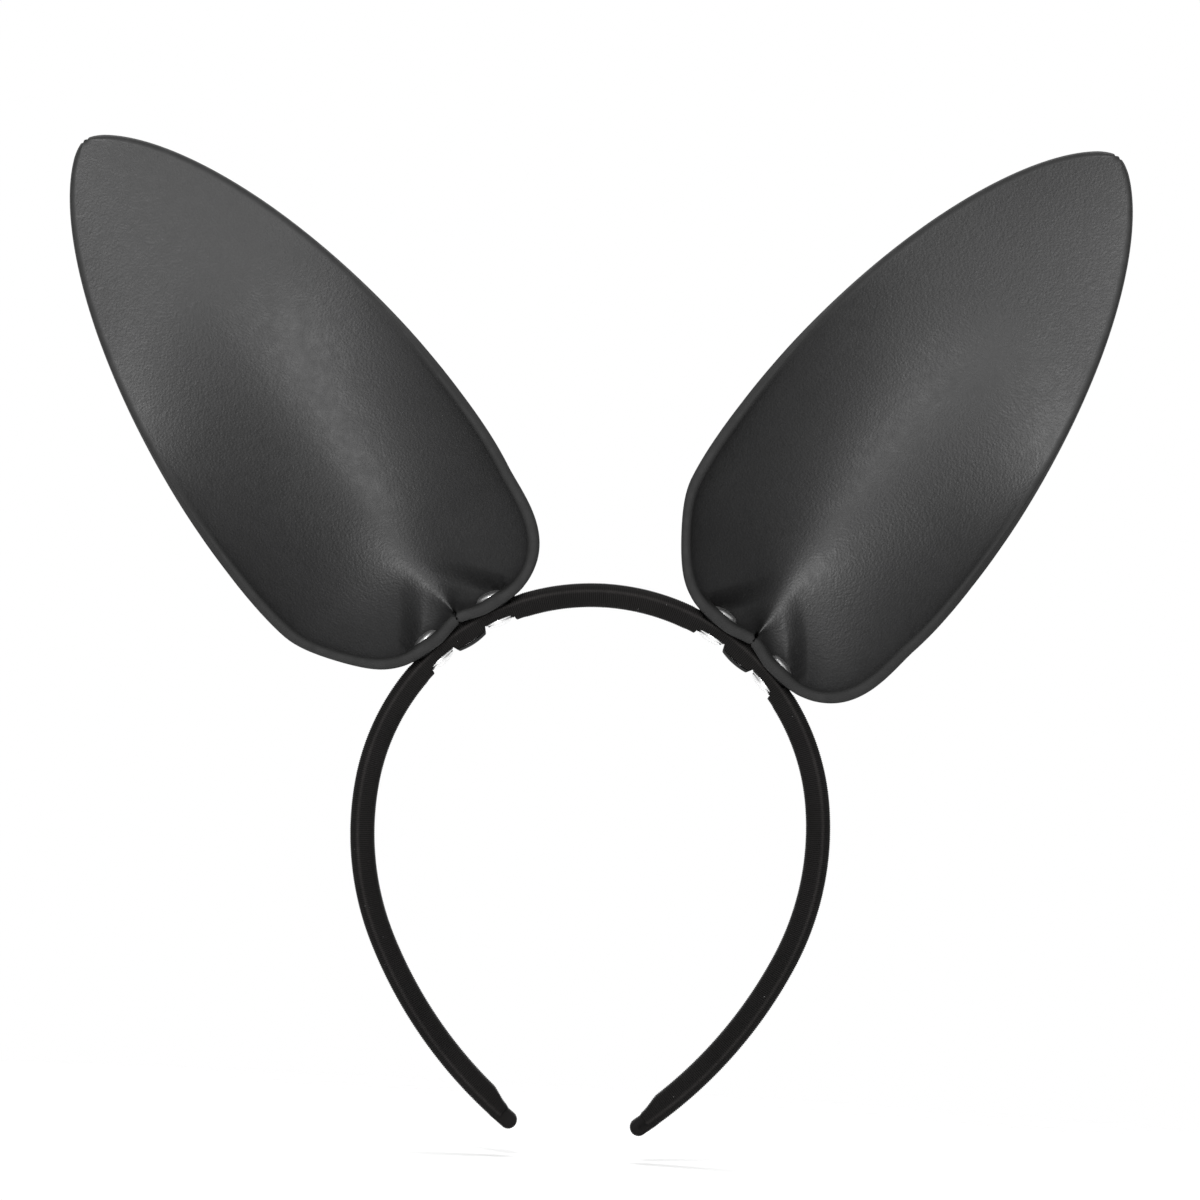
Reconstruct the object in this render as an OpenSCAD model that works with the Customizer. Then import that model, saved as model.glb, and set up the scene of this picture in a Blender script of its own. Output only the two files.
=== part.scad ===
// Animal ears headband: a sprung, padded band in a ribbed fabric sleeve, with two cupped
// leather ears, each held by two double-cap rivets through the band and a backing strip.
// Millimetres. +Z is up and the front is towards -Y. Left is -X, as seen from the front.
// The origin is the middle of the crown's inner face, where the band rests on the head.

/* [Band] */
// Centreline radius over the crown
crown_r = 61.4; // [58:0.2:70]
// Angle from the top to the end of the crown arc
crown_arc = 82; // [76:1:88]
// Centreline radius beside the head
temple_r = 77; // [70:1:100]
// Angle of the temple arc
temple_arc = 33; // [24:1:36]
// Centreline radius of the last stretch down to the tip
tail_r = 122; // [100:2:200]
// Length of the last stretch
tail_l = 57.5; // [44:0.5:66]
// Thickness of the padded band, seen from the front
band_t = 6.2; // [6:0.1:6.8]
// Depth of the padded band, front to back
band_d = 10; // [9.6:0.2:13]
// Thickness of the ribbed fabric sleeve
cover_t = 0.3; // [0.2:0.05:0.3]
// Thickness of the spring strip inside
core_t = 0.6; // [0.5:0.05:0.6]
// Width of the spring strip
core_w = 7; // [5:0.5:7.5]
// Length of the fabric tab that closes each tip
tab_l = 4.5; // [3:0.5:6]

/* [Flex] */
// Angle from the top to each arm's flex line
flex_at = 66; // [58:1:74]
// How far an arm springs outwards
flex_out = 25; // [10:1:30]
// How far an arm can be squeezed inwards
flex_in = 5; // [0:1:8]

/* [Ears] */
// Angle from the top to the middle of the ear on the -X side
left_ear_at = -36.5; // [-40:0.5:-32]
// Angle from the top to the middle of the ear on the +X side
right_ear_at = 38.5; // [32:0.5:40]
// Sideways turn of each ear above its base, towards +X
ear_turn = -4; // [-8:0.5:8]
// Sideways sway of each ear above its base, towards +X
ear_sway = -2; // [-3:0.2:3]
// Height of an ear above the band
ear_h = 165.2; // [120:1:180]
// Width of an ear at its widest
ear_w = 80.4; // [60:1:96]
// Height of the widest place above the band
ear_belly = 50; // [40:1:64]
// Depth of the cup in the lower third
cup_d = 24; // [16:1:26]
// Thickness of the leather
leather_t = 3; // [2.5:0.1:3.2]

/* [Rivets] */
// Angle along the band from the middle of an ear to each rivet
rivet_step = 9; // [8.5:0.1:10]
// Diameter of a rivet cap
cap_d = 8.2; // [7:0.1:8.4]
// Height of a rivet cap
cap_h = 2.1; // [1.5:0.1:2.4]
// Outer diameter of the hollow rivet post
post_d = 3.2; // [2.6:0.1:3.4]

/* [Hidden] */
$fn = 64;

// Centres of the three arcs of the centreline, as [x, z], and its end on the +X side
inner_r = crown_r - band_t / 2;
outer_r = crown_r + band_t / 2;
tail_arc = tail_l / tail_r * 180 / PI;
function towards(a) = [sin(a), cos(a)];
crown_c = [0, -inner_r];
temple_c = crown_c + (crown_r - temple_r) * towards(crown_arc);
tail_c = temple_c + (temple_r - tail_r) * towards(crown_arc + temple_arc);
tip_a = crown_arc + temple_arc + tail_arc;
tip_p = tail_c + tail_r * towards(tip_a);

// Radii of the stack that a rivet clamps, measured from the crown arc's centre
ear_seat_r = outer_r - 1.5;       // underside of the leather at a rivet
cap_seat_r = ear_seat_r + leather_t;
strip_out_r = crown_r - 0.05;     // outer face of the backing strip at a rivet
strip_t = 1;
post_seat_r = strip_out_r - strip_t;
core_r = (strip_out_r + ear_seat_r) / 2;
touch = 0.05;                     // room between parts that only touch
hole_room = 0.1;                  // and by which a hole is wider than what passes through it
slack = 0.02;                     // between the padding and the sleeve stretched over it
lobe_room = 0.1;                  // and more of it under the leather's facets
seat_room = 0.3;                  // by which the flat seat under a cap is wider than the cap

// How far the ear's two lobes and the backing strip press into the padding, in degrees from
// the middle of the ear
lobe_arc = 15.6;
strip_arc = 13;
strip_flat = 5.1;                 // the strip lies flat under the caps outside this angle
strip_ramp = 4.2;
strip_bow = 2.8;                  // and bows towards the head between them

// Angles from the middle of the ear at which the band's section is set out
strip_marks = [0, 0.9, 1.7, 2.5, 3.3, 4, 4.5, 5.1, 7, 9, 11, 13];
ear_marks = concat(strip_marks, [13.2, 13.7, lobe_arc, 16.1]);
plain_step = 2.6;

flex_gap = 0.35;
core_end = 3;                     // the strip stops this far before the sleeve's end
tab_t = 4.4;

function smooth(t) = let (c = max(0, min(1, t))) c * c * (3 - 2 * c);

// ---- the band ----

// Half of the band's cross-section as [outwards, forwards] fractions of its half sizes:
// a flat inner face, a ridge a third of the way down from the outer edge, a flat outer face
section_half = [[-1, 0.74], [-0.86, 0.9], [-0.3, 0.97], [0.3, 1], [0.8, 0.86], [1, 0.66]];

function section(inset) = let (
    t = band_t / 2 - inset, d = band_d / 2 - inset,
    front = [for (p = section_half) [p[0] * t, p[1] * d]]
) concat(front, [for (i = [len(front) - 1:-1:0]) [front[i][0], -front[i][1]]]);

// A station is a place on the centreline, as [its arc's centre, radius, angle]
function stations(centre, r, from, to) = let (n = ceil((to - from) / plain_step))
    [for (i = [0:n]) [centre, r, from + (to - from) * i / n]];
function spot(s, r) = s[0] + (s[1] + r) * towards(s[2]);

// The +X arm's stations, from before the flex line to a length short of the sleeve's end
function arm_stations(short) = concat(
    stations(crown_c, crown_r, flex_at - 4, crown_arc),
    [for (s = stations(temple_c, temple_r, crown_arc, crown_arc + temple_arc))
        if (s[2] > crown_arc) s],
    [for (s = stations(tail_c, tail_r, crown_arc + temple_arc, tip_a - short / tail_r * 180 / PI))
        if (s[2] > crown_arc + temple_arc) s]);

// The crown's stations, run past both flex lines by some degrees
function about(at) = concat(
    [for (i = [len(ear_marks) - 1:-1:1]) at - ear_marks[i]], [for (m = ear_marks) at + m]);
function crown_stations(past) = let (edge = ear_marks[len(ear_marks) - 1]) concat(
    stations(crown_c, crown_r, -flex_at - past, left_ear_at - edge),
    [for (a = about(left_ear_at)) if (a > left_ear_at - edge) [crown_c, crown_r, a]],
    [for (s = stations(crown_c, crown_r, left_ear_at + edge, right_ear_at - edge))
        if (s[2] > left_ear_at + edge) s],
    [for (a = about(right_ear_at)) if (a > right_ear_at - edge) [crown_c, crown_r, a]],
    [for (s = stations(crown_c, crown_r, right_ear_at + edge, flex_at + past))
        if (s[2] > right_ear_at + edge) s]);

// Radius of the backing strip's outer face, at an angle from the middle of the ear
function strip_r(a) = strip_out_r - strip_bow * smooth((strip_flat - abs(a)) / strip_ramp);

// The crown's section at an angle, squeezed between the ears' lobes and the backing strips
function squeezed(angle, inset) = let (
    a = min(abs(angle - left_ear_at), abs(angle - right_ear_at)),
    low = a < strip_arc + 0.3 ? strip_r(a) + touch + inset - crown_r : -band_t,
    under_ear = min(ear_seat_r, (outer_r + lobe_low(ear_seat_r * sin(a))) / cos(a)) - lobe_room,
    high = (a < lobe_arc + 0.1 ? under_ear : outer_r) - inset - crown_r
) [for (p = section(inset)) [max(low, min(high, p[0])), p[1]]];

// Skins a list of rings that all have the same number of points
module skin(rings) {
    n = len(rings[0]);
    last = (len(rings) - 1) * n;
    polyhedron(
        [for (ring = rings, p = ring) p],
        concat(
            [for (i = [0:len(rings) - 2], k = [0:n - 1]) let (
                a = i * n + k, b = i * n + (k + 1) % n) each [[a, b + n, b], [a, a + n, b + n]]],
            [[for (k = [0:n - 1]) k], [for (k = [n - 1:-1:0]) last + k]]),
        convexity = 6);
}

// Carries a section along stations
module band(path, inset, squeeze) {
    skin([for (s = path)
        [for (p = squeeze ? squeezed(s[2], inset) : section(inset))
            let (q = spot(s, p[0])) [q[0], p[1], q[1]]]]);
}

// Carries the spring strip's rectangle along stations, grown all round
module flat_strip(path, grow) {
    low = core_r - crown_r - core_t / 2 - grow;
    high = core_r - crown_r + core_t / 2 + grow;
    rotate([90, 0, 0]) linear_extrude(core_w + 2 * grow, center = true)
        polygon(concat(
            [for (s = path) spot(s, low)], [for (i = [len(path) - 1:-1:0]) spot(path[i], high)]));
}

// Sets its children on the crown at an angle, with Z outwards and the origin at radius r
module at_crown(a, r) {
    translate([crown_c[0], 0, crown_c[1]])
        rotate([0, a, 0])
            translate([0, 0, r])
                children();
}

// Sets its children at the flex line of the +X arm, with Z outwards and X down the arm
module at_flex() { at_crown(flex_at, crown_r) children(); }

// Sets its children at the end of the +X arm's sleeve
module at_tip() {
    translate([tip_p[0], 0, tip_p[1]]) rotate([0, tip_a, 0]) children();
}

// A prism through the band, drawn in the plane of the loop about the crown's centre
module loop_prism(points, depth) {
    translate([crown_c[0], 0, crown_c[1]])
        rotate([90, 0, 0])
            linear_extrude(depth, center = true)
                polygon(points);
}

// Points of a ring sector, from angle a0 to a1, between two radii
function sector(a0, a1, r0, r1) = concat(
    [for (i = [0:12]) r0 * towards(a0 + (a1 - a0) * i / 12)],
    [for (i = [12:-1:0]) r1 * towards(a0 + (a1 - a0) * i / 12)]
);

// The backing strip's profile in the plane of the loop
function strip_profile(at) = let (
    marks = concat([for (i = [len(strip_marks) - 1:-1:1]) -strip_marks[i]], strip_marks)
) concat(
    [for (a = marks) strip_r(a) * towards(at + a)],
    [for (i = [len(marks) - 1:-1:0]) (strip_r(marks[i]) - strip_t) * towards(at + marks[i])]
);

// The post holes of both ears
module post_holes(room) {
    for (at = [left_ear_at, right_ear_at], s = [-1, 1])
        at_crown(at + s * rivet_step, inner_r - 6) cylinder(d = post_d + room, h = band_t + 16);
}

// The wedge that stays free so that the arm can flex both ways
module flex_room() {
    reach = band_t;
    at_flex() rotate([90, 0, 0]) linear_extrude(band_d + 4, center = true)
        polygon([
            [flex_gap, 0],
            [flex_gap + reach * tan(flex_out + 1), reach], [-3 * reach, reach],
            [-3 * reach, -reach], [flex_gap + reach * tan(flex_in + 1), -reach]
        ]);
}

module crown_core() {
    color("silver") difference() {
        flat_strip(crown_stations(0), 0);
        post_holes(hole_room);
    }
}

module crown_padding() {
    color("dimgray") difference() {
        band(crown_stations(0), cover_t + slack, true);
        flat_strip(crown_stations(1), touch);
        post_holes(hole_room);
    }
}

module crown_cover() {
    color("#1c1a19") difference() {
        band(crown_stations(0), 0, true);
        band(crown_stations(1), cover_t, true);
        post_holes(hole_room);
    }
}

module arm_core() {
    color("silver") difference() {
        flat_strip(arm_stations(core_end), 0);
        flex_room();
    }
}

module arm_padding() {
    color("dimgray") difference() {
        band(arm_stations(cover_t + slack), cover_t + slack, false);
        flat_strip(arm_stations(core_end - touch), touch);
        flex_room();
    }
}

module arm_cover() {
    color("#1c1a19") difference() {
        band(arm_stations(0), 0, false);
        band(arm_stations(cover_t), cover_t, false);
        flex_room();
    }
}

// The end of the sleeve's outer face, folded over the tip and tucked in on the inside
module end_tab() {
    end_r = tab_t / 2;
    color("#1c1a19") at_tip() translate([0, 0, band_t / 2 - end_r]) rotate([90, 0, 0])
        linear_extrude(band_d * 0.86, center = true) union() {
            translate([0, -end_r]) square([tab_l - end_r, tab_t]);
            translate([tab_l - end_r, 0]) circle(end_r);
        }
}

// ---- the ears ----

// An ear is one leaf of leather. Its own frame has Z outwards from the band, X along the
// band and Y to the back. Row i runs across the leaf: row 0 is the slit at the base, the
// first rows are the two lobes on the band, and the last row is the tip.
lobe_rows = 7;
side_rows = 12;
top_rows = 17;
rows = lobe_rows + side_rows + top_rows;
floor_steps = 4;
wall_steps = 9;
half_steps = floor_steps + wall_steps;
cols = 2 * half_steps + 1;

slit = 0.6;
lobe_x = 14;                      // the lobes lie flat this far from the slit
lobe_bend = 9;                    // and have bent down to their lowest this far from it
lobe_z = -2.1;                    // and this low on the curved, squeezed band
notch_z = -0.2;
base_pow = [2.4, 2.2];            // superellipse powers of the rounded base
tip_pow = [1.9, 0.62];            // powers of the long curve to the tip
tip_cut = 4;                      // degrees left off, for a blunt tip
front_y = -8;
apex_y = 14;
floor_l = 12.5;                   // the lobes run flat this far back, under the caps
floor_fade = 10;                  // and lose that flat over this much beyond them
edge_l = 1.2;                     // above them the rim turns straight back by this much
cup_from = 26;                    // the cup is full up to this height
cup_to = 120;                     // and has flattened out by this one
splay_max = 80;
splay_to = 110;                   // height at which the walls are splayed the most
apex_rise = 40;                   // the back reaches the cup's full depth at this height
fold = 0.25;                      // share of the walls' width that the back's rounding takes
fold_rise = 0.02;                 // and how much of it each millimetre of height adds
top_y = 3.5;
rim_lag = 2;                      // how far the upper rim stands in front of the spine

// 1 in the cup, 0 in the flat upper half
function cup(z) = 1 - smooth((z - cup_from) / (cup_to - cup_from));

// Angle of the side walls from straight back, in degrees
function splay(z) = splay_max * smooth(z / splay_to);

// Angle along the outline: 0 where the lobe turns up, 90 at the belly, 180 at the tip
function swing(i) = i <= lobe_rows ? 0
    : i <= lobe_rows + side_rows ? 90 * (i - lobe_rows) / side_rows
    : 90 + (90 - tip_cut) * (i - lobe_rows - side_rows) / top_rows;

function lobe_at(i) = slit / 2 + (lobe_x - slit / 2) * i / lobe_rows;

// Height of a lobe's underside, at a place along the band
function lobe_low(x) = notch_z + (lobe_z - notch_z) * smooth(x / lobe_bend);

// Outline of the leaf's outside, as [x, z]
function outline(i) = let (a = swing(i), half = ear_w / 2)
    i <= lobe_rows
        ? [lobe_at(i), lobe_low(lobe_at(i))]
    : a <= 90
        ? [lobe_x + (half - lobe_x) * pow(sin(a), 2 / base_pow[1]),
           ear_belly - (ear_belly - lobe_z) * pow(cos(a), 2 / base_pow[0])]
    : [half * pow(sin(a), 2 * tip_pow[1]),
       ear_belly + (ear_h - ear_belly) * pow(-cos(a), 2 / tip_pow[0])];

// The same on the leaf's inside, one leather thickness in where the rim is seen edge on
function rim(i) = let (p = outline(i), a = min(90, swing(i)), t = leather_t * cos(splay(p[1])))
    [p[0] - t * sin(a), p[1] + t * cos(a), rim_y(p[1])];

function rim_y(z) = top_y - rim_lag * (1 - pow(max(0, z) / ear_h, 6))
    + (front_y - top_y + rim_lag) * cup(z);

// The spine, up the middle of the leaf's back, as [x, z, y]. Each row meets it higher up than
// its rim, by an amount that swells beside the rounded base
spine_lead = 15;
spine_swell = 10;
lobe_lead = 1.05;
function spine_z(i) = let (a = swing(i))
    i <= lobe_rows ? rim(i)[1] + lobe_lead * lobe_at(i)
    : rim(i)[1] + spine_lead * cos(a / 2) + (a < 90 ? spine_swell * sin(2 * a) : 0);
function spine(i) = let (z = spine_z(i))
    [0, z, i == 0 ? apex_y : top_y + (cup_d + front_y - top_y) * cup(z)
        - (cup_d + front_y - apex_y) * (1 - smooth((z - 1) / apex_rise))];

// The wall from b to the spine s, at t from 0 to 1: straight back at first, then slanting in
// to a back whose rounded middle widens with height, as the leaf's cone does
function wall(b, s, t) = let (
    w = max(fold, fold_rise * s[1]),
    slant = 1 - pow(sin(90 * t), 1 + 0.4 * cup(s[1])),
    x = sqrt(pow(slant * (sqrt(1 + w * w) - w) + w, 2) - w * w)
) [b[0] * x, s[1] - (s[1] - b[1]) * pow(x, 1.5), b[2] + (s[2] - b[2]) * sin(90 * t)];

// A point of row i, at step j from the rim (0) to the spine (half_steps), as [x, z, y]: straight
// in from the rim, which on a lobe crosses the band, and then round into the back
function rung(i, j) = let (
    p = rim(i), s = spine(i), g = splay(p[1]), inwards = [-sin(g), 0, cos(g)],
    edge = min(edge_l, p[0] / 4),
    flat = i > lobe_rows + side_rows ? edge
        : max(edge, floor_l * (1 - smooth((p[0] - lobe_x + leather_t) / floor_fade))),
    b = p + flat * inwards
) j <= floor_steps ? p + (b - p) * j / floor_steps
    : i == 0 ? b + (s - b) * (j - floor_steps) / wall_steps
    : wall(b, s, (j - floor_steps) / wall_steps);

// Turns the leaf sideways above its base, and puts the axes in X, Y, Z order
turn_from = 2;
turn_to = 26;
function turned(p) = let (
    above = smooth((p[1] - turn_from) / (turn_to - turn_from)), a = ear_turn * above)
    [p[0] * cos(a) + p[1] * sin(a) + ear_sway * above, p[2], p[1] * cos(a) - p[0] * sin(a)];

inside = [for (i = [0:rows]) [for (k = [-half_steps:half_steps])
    let (p = rung(i, half_steps - abs(k))) turned([sign(k) * p[0], p[1], p[2]])]];

// The outside lies one leather thickness out, square to the inside. The last rows are too
// narrow to say which way that is, and take it from the row before them. The edges of the
// slit go straight out, so that the two lobes don't cross.
function unit(v) = v / norm(v);
function outwards(i, k) = let (
    m = max(1, min(i, rows - 2)),
    along = inside[m + 1][k] - inside[m - 1][k],
    across = inside[m][min(k + 1, cols - 1)] - inside[m][max(k - 1, 0)],
    n = cross(along, across)
) unit(i == 0 ? [0, n[1], n[2]] : n);
outside = [for (i = [0:rows]) [for (k = [0:cols - 1]) inside[i][k] + leather_t * outwards(i, k)]];

function at(face, i, k) = (face * (rows + 1) + i) * cols + k;
function quad(a, b, c, d) = [[a, c, b], [a, d, c]];

module ear_leaf() {
    points = [for (face = [inside, outside], row = face, p = row) p];
    sheets = [for (i = [0:rows - 1], k = [0:cols - 2]) each concat(
        quad(at(0, i, k), at(0, i, k + 1), at(0, i + 1, k + 1), at(0, i + 1, k)),
        quad(at(1, i, k), at(1, i + 1, k), at(1, i + 1, k + 1), at(1, i, k + 1)))];
    ends = [for (k = [0:cols - 2]) each concat(
        quad(at(0, 0, k), at(1, 0, k), at(1, 0, k + 1), at(0, 0, k + 1)),
        quad(at(0, rows, k), at(0, rows, k + 1), at(1, rows, k + 1), at(1, rows, k)))];
    rims = [for (i = [0:rows - 1]) each concat(
        quad(at(0, i, 0), at(0, i + 1, 0), at(1, i + 1, 0), at(1, i, 0)),
        quad(at(0, i, cols - 1), at(1, i, cols - 1), at(1, i + 1, cols - 1), at(0, i + 1, cols - 1)))];
    polyhedron(points, concat(sheets, ends, rims), convexity = 6);
}

module ear(angle) {
    color("#2a2a2b") difference() {
        at_crown(angle, outer_r) ear_leaf();
        for (s = [-1, 1]) at_crown(angle + s * rivet_step, 0) {
            translate([0, 0, inner_r]) cylinder(d = post_d + hole_room, h = 12);
            translate([0, 0, cap_seat_r]) cylinder(d = cap_d + seat_room, h = 6);
        }
    }
}

module backing_strip(angle) {
    color("#202021") difference() {
        intersection() {
            loop_prism(strip_profile(angle), cap_d);
            union() {
                loop_prism(sector(angle - rivet_step, angle + rivet_step, inner_r - 6, outer_r), cap_d);
                for (s = [-1, 1])
                    at_crown(angle + s * rivet_step, inner_r - 6) cylinder(d = cap_d - 0.2, h = 12);
            }
        }
        for (s = [-1, 1]) {
            at_crown(angle + s * rivet_step, inner_r - 6) cylinder(d = post_d + hole_room, h = 12);
            at_crown(angle + s * rivet_step, post_seat_r - 6) cylinder(d = cap_d + seat_room, h = 6);
        }
    }
}

// ---- the rivets ----

pin_d = post_d - 1.2;             // the cap's pin fills the bore of the hollow post
pin_gap = 1.2;                    // and ends this far above the other cap's flat face
bore_floor = 0.6;                 // where the bore begins
lip_t = 0.45;

// A domed cap on its flat face, with a hole or a stem added by its caller
module dome() {
    rotate_extrude() polygon(concat(
        [[0, 0], [cap_d / 2 - 0.15, 0]],
        [for (t = [0:10:90]) [cap_d / 2 * cos(t), lip_t + (cap_h - lip_t) * sin(t)]]
    ));
}

// The cap inside the cup, with the pin that is driven into the hollow post
module rivet_cap(angle) {
    color("#d8d8da") at_crown(angle, cap_seat_r) union() {
        dome();
        translate([0, 0, post_seat_r - cap_seat_r + pin_gap])
            cylinder(d = pin_d, h = cap_seat_r - post_seat_r);
    }
}

// The cap on the head's side, with the hollow post through strip, band and leather
module rivet_post(angle) {
    color("#d8d8da") at_crown(angle, post_seat_r) difference() {
        union() {
            mirror([0, 0, 1]) dome();
            cylinder(d = post_d, h = cap_seat_r - post_seat_r - touch);
        }
        translate([0, 0, bore_floor]) cylinder(d = pin_d + hole_room, h = 10);
    }
}

module left_ear() { ear(left_ear_at); }
module right_ear() { ear(right_ear_at); }
module left_backing_strip() { backing_strip(left_ear_at); }
module right_backing_strip() { backing_strip(right_ear_at); }
module left_lower_rivet_cap() { rivet_cap(left_ear_at - rivet_step); }
module left_upper_rivet_cap() { rivet_cap(left_ear_at + rivet_step); }
module right_upper_rivet_cap() { rivet_cap(right_ear_at - rivet_step); }
module right_lower_rivet_cap() { rivet_cap(right_ear_at + rivet_step); }
module left_lower_rivet_post() { rivet_post(left_ear_at - rivet_step); }
module left_upper_rivet_post() { rivet_post(left_ear_at + rivet_step); }
module right_upper_rivet_post() { rivet_post(right_ear_at - rivet_step); }
module right_lower_rivet_post() { rivet_post(right_ear_at + rivet_step); }
module right_arm_core() { arm_core(); }
module right_arm_padding() { arm_padding(); }
module right_arm_cover() { arm_cover(); }
module right_end_tab() { end_tab(); }
module left_arm_core() { mirror([1, 0, 0]) arm_core(); }
module left_arm_padding() { mirror([1, 0, 0]) arm_padding(); }
module left_arm_cover() { mirror([1, 0, 0]) arm_cover(); }
module left_end_tab() { mirror([1, 0, 0]) end_tab(); }

left_ear();
right_ear();
left_backing_strip();
right_backing_strip();
left_lower_rivet_cap();
left_upper_rivet_cap();
right_upper_rivet_cap();
right_lower_rivet_cap();
left_lower_rivet_post();
left_upper_rivet_post();
right_upper_rivet_post();
right_lower_rivet_post();
crown_core();
crown_padding();
crown_cover();
left_arm_core();
left_arm_padding();
left_arm_cover();
left_end_tab();
right_arm_core();
right_arm_padding();
right_arm_cover();
right_end_tab();
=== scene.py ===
"""Looks of the animal ears headband: two cupped leather ears riveted through a sprung, padded band
in a ribbed fabric sleeve. Lengths are in millimetres until a mesh is made, and in metres on the
stage. The row frame has +Z up, the front towards -Y, and its origin at the middle of the crown's
inner face."""
import math

import bpy
import numpy as np
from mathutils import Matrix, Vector


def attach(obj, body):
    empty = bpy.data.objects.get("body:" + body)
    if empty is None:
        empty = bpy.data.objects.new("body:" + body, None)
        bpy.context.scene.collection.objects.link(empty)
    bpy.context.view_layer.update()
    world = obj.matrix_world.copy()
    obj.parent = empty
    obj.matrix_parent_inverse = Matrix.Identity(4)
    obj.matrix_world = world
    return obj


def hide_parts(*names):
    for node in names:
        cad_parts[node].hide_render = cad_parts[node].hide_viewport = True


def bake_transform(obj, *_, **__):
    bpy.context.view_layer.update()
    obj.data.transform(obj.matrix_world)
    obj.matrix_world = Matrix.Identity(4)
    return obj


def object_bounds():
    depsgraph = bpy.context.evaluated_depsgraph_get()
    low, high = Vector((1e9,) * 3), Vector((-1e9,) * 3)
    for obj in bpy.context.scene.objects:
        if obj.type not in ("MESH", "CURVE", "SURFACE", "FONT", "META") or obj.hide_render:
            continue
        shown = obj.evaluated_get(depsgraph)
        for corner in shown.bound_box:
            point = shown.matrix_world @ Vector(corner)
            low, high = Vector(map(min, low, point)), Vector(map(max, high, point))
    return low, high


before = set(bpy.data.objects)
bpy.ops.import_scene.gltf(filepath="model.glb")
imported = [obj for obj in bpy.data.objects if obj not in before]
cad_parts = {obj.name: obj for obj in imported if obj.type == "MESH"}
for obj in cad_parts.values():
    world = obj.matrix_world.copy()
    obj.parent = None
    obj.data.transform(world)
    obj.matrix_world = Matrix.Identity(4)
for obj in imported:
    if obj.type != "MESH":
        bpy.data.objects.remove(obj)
cad_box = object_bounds()
MM = 0.001

# ---- driving dimensions, as in the CAD model ----

CROWN_R, CROWN_ARC = 61.4, 82.0        # the band's centreline: the crown,
TEMPLE_R, TEMPLE_ARC = 77.0, 33.0      # beside the head,
TAIL_R, TAIL_L = 122.0, 57.5           # and the last stretch down to the tip
BAND_T, BAND_D = 6.2, 10.0             # thickness seen from the front, and depth front to back
INNER_R, OUTER_R = CROWN_R - BAND_T / 2, CROWN_R + BAND_T / 2
TAB_L, TAB_T = 4.5, 4.4                # the fabric tab that closes each tip

EAR_AT = {"left": -36.5, "right": 38.5}
EAR_H, EAR_W, EAR_BELLY = 165.2, 80.4, 50.0
EAR_TURN, EAR_SWAY = -4.0, -2.0        # of each ear above its base, towards +X
CUP_D, LEATHER_T = 24.0, 3.0

RIVET_STEP = 9.0                       # degrees from the middle of an ear to each rivet
CAP_D, CAP_H, POST_D = 8.2, 2.1, 3.2
EAR_SEAT_R = OUTER_R - 1.5             # the stack that a rivet clamps, from the crown's centre
CAP_SEAT_R = EAR_SEAT_R + LEATHER_T
STRIP_OUT_R, STRIP_T = CROWN_R - 0.05, 1.0
POST_SEAT_R = STRIP_OUT_R - STRIP_T
CORE_R, CORE_W, CORE_T = (STRIP_OUT_R + EAR_SEAT_R) / 2, 7.0, 0.6

STRIP_ARC = 13.0                       # a strip has room in the sleeve to here, from the ear's middle
STRIP_FLAT, STRIP_RAMP = 5.1, 1.1      # it is flat outside the first, and drops over the second
STRIP_BOW = 2.8                        # and bows towards the head between them
STRIP_CROWN = 0.35                     # share of the bow that is a gentle arc, not the ramps

RIB_PITCH, RIB_H = 0.54, 0.22
LIP_R = 60.3                           # the sleeve bulges out in front of a strip down to here
SLIT_PUFF = 1.0                        # and up into the slit between an ear's lobes
FLEX_FROM, FLEX_TO = 54.0, 84.0        # the stretch of crown arc that bends with an arm
ROOM = 0.05                            # between pieces that only touch


def smooth(t):
    c = np.clip(t, 0, 1)
    return c * c * (3 - 2 * c)


def sin(a):
    return np.sin(np.radians(a))


def cos(a):
    return np.cos(np.radians(a))


def at_crown(points, angle, r):
    """Local points, with Z outwards from radius r of the crown, in the row frame."""
    x, y, z = np.moveaxis(np.asarray(points, float), -1, 0)
    z = z + r
    across = x * cos(angle) + z * sin(angle)
    up = z * cos(angle) - x * sin(angle) - INNER_R
    return np.stack([across, y, up], -1)


# ---- meshes ----

def piece(name, points, faces, material, slot_name=None):
    """A smooth shaded mesh in the scene. Only what is part of the headband has a slot name, which is not
    used.
    """
    places = np.asarray(points).reshape(-1, 3) * MM
    mesh = bpy.data.meshes.new(name)
    mesh.from_pydata(places.tolist(), [], [list(map(int, f)) for f in faces])
    mesh.validate()
    mesh.materials.append(material)
    mesh.shade_smooth()
    thing = bpy.data.objects.new(name, mesh)
    bpy.context.scene.collection.objects.link(thing)
    return thing if slot_name else thing


def paint(thing, name, values):
    """Stores one number per point, for its material to read."""
    layer = thing.data.attributes.new(name, "FLOAT", "POINT")
    layer.data.foreach_set("value", np.asarray(values, np.float32))


def grid_faces(rows, cols, wrap):
    """Quads of a grid whose rows close on themselves if wrap is true."""
    i, k = np.meshgrid(np.arange(rows - 1), np.arange(cols if wrap else cols - 1), indexing="ij")
    a, b = i * cols + k, i * cols + (k + 1) % cols
    return np.stack([a, b, b + cols, a + cols], -1).reshape(-1, 4).tolist()


def tube_faces(rows, cols):
    """A tube of closed rings with both ends filled."""
    last = (rows - 1) * cols
    ends = [list(range(cols))[::-1], list(range(last, last + cols))]
    return grid_faces(rows, cols, True) + ends


# ---- materials ----

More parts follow.
